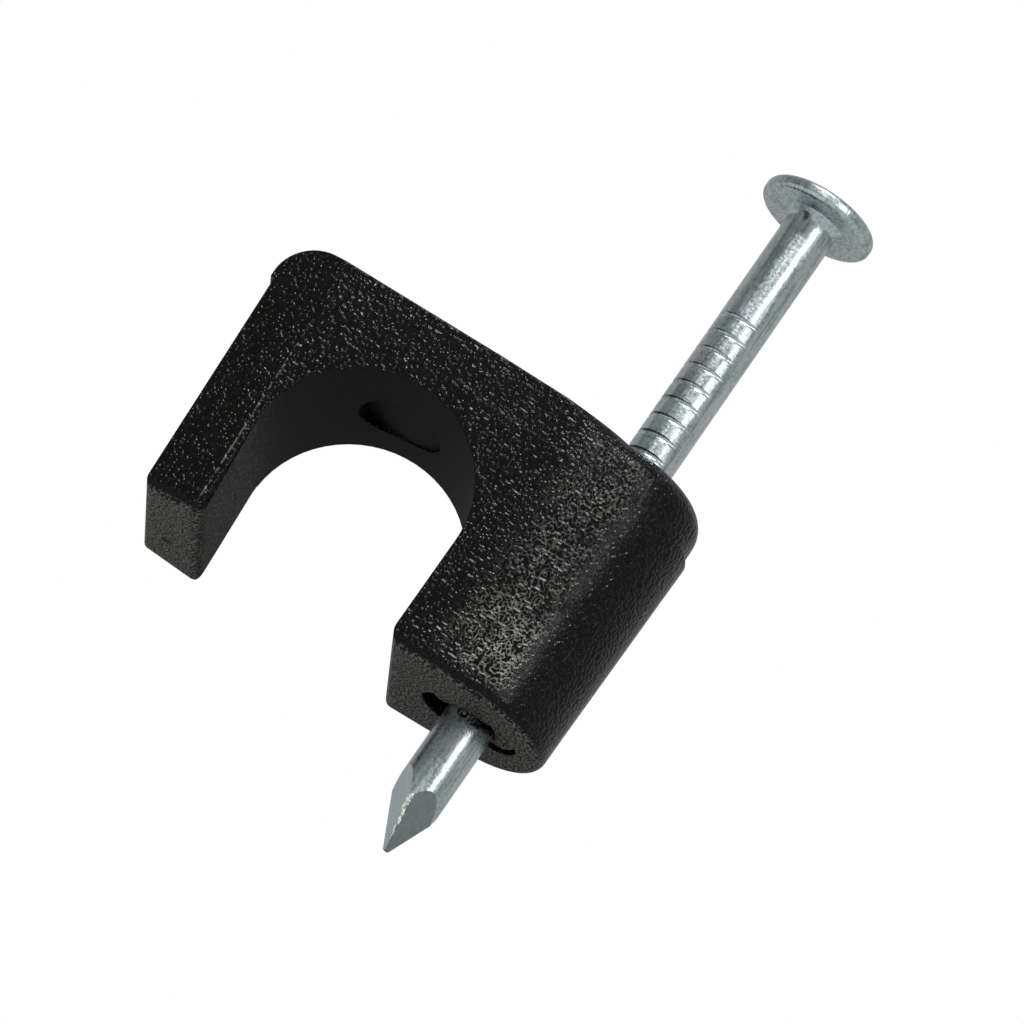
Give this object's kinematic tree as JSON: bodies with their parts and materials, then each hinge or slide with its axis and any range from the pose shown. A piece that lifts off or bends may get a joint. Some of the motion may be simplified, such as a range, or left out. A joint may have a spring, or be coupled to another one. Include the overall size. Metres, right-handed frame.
{
  "type": "nail-in cable clip",
  "caption": "Moulded plastic hook that holds a round cable against a wall, with a steel nail fitted upright in the round boss beside its open cable channel.",
  "frame": {"origin": "on the nail's axis, in the plane of the wall that the clip is nailed to", "axes": "+Z along the nail towards its head, -X from the nail towards the hook, Y along the cable"},
  "size_m": [0.0159, 0.0066, 0.0263],
  "materials": {
    "black_plastic": "black moulding with a spark-eroded texture",
    "zinc_steel": "bright zinc plate over drawn wire"
  },
  "bodies": {
    "root": {"clip_body": "black_plastic", "nail": "zinc_steel"}
  },
  "joints": []
}
